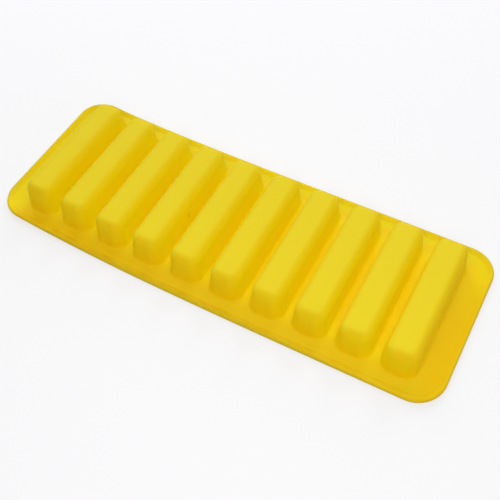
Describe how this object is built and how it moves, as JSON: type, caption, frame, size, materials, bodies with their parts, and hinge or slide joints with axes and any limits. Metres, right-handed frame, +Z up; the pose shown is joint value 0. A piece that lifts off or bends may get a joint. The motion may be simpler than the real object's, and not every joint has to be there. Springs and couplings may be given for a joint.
{
  "type": "chocolate stick mould",
  "caption": "Flexible silicone tray with a row of rounded stick-shaped cavities joined by a thin flange with a raised rim, lying face down.",
  "frame": {"origin": "middle of the tray on the plane it lies on, which is the filling side where the cavities open", "axes": "+X along the tray, across the row of bars; +Y along each bar; +Z up, towards the closed ends of the cavities"},
  "size_m": [0.2548, 0.0936, 0.018],
  "materials": {
    "silicone": "matte moulded silicone, yellow, faintly translucent"
  },
  "bodies": {
    "root": {"mould_tray": "silicone"}
  },
  "joints": []
}
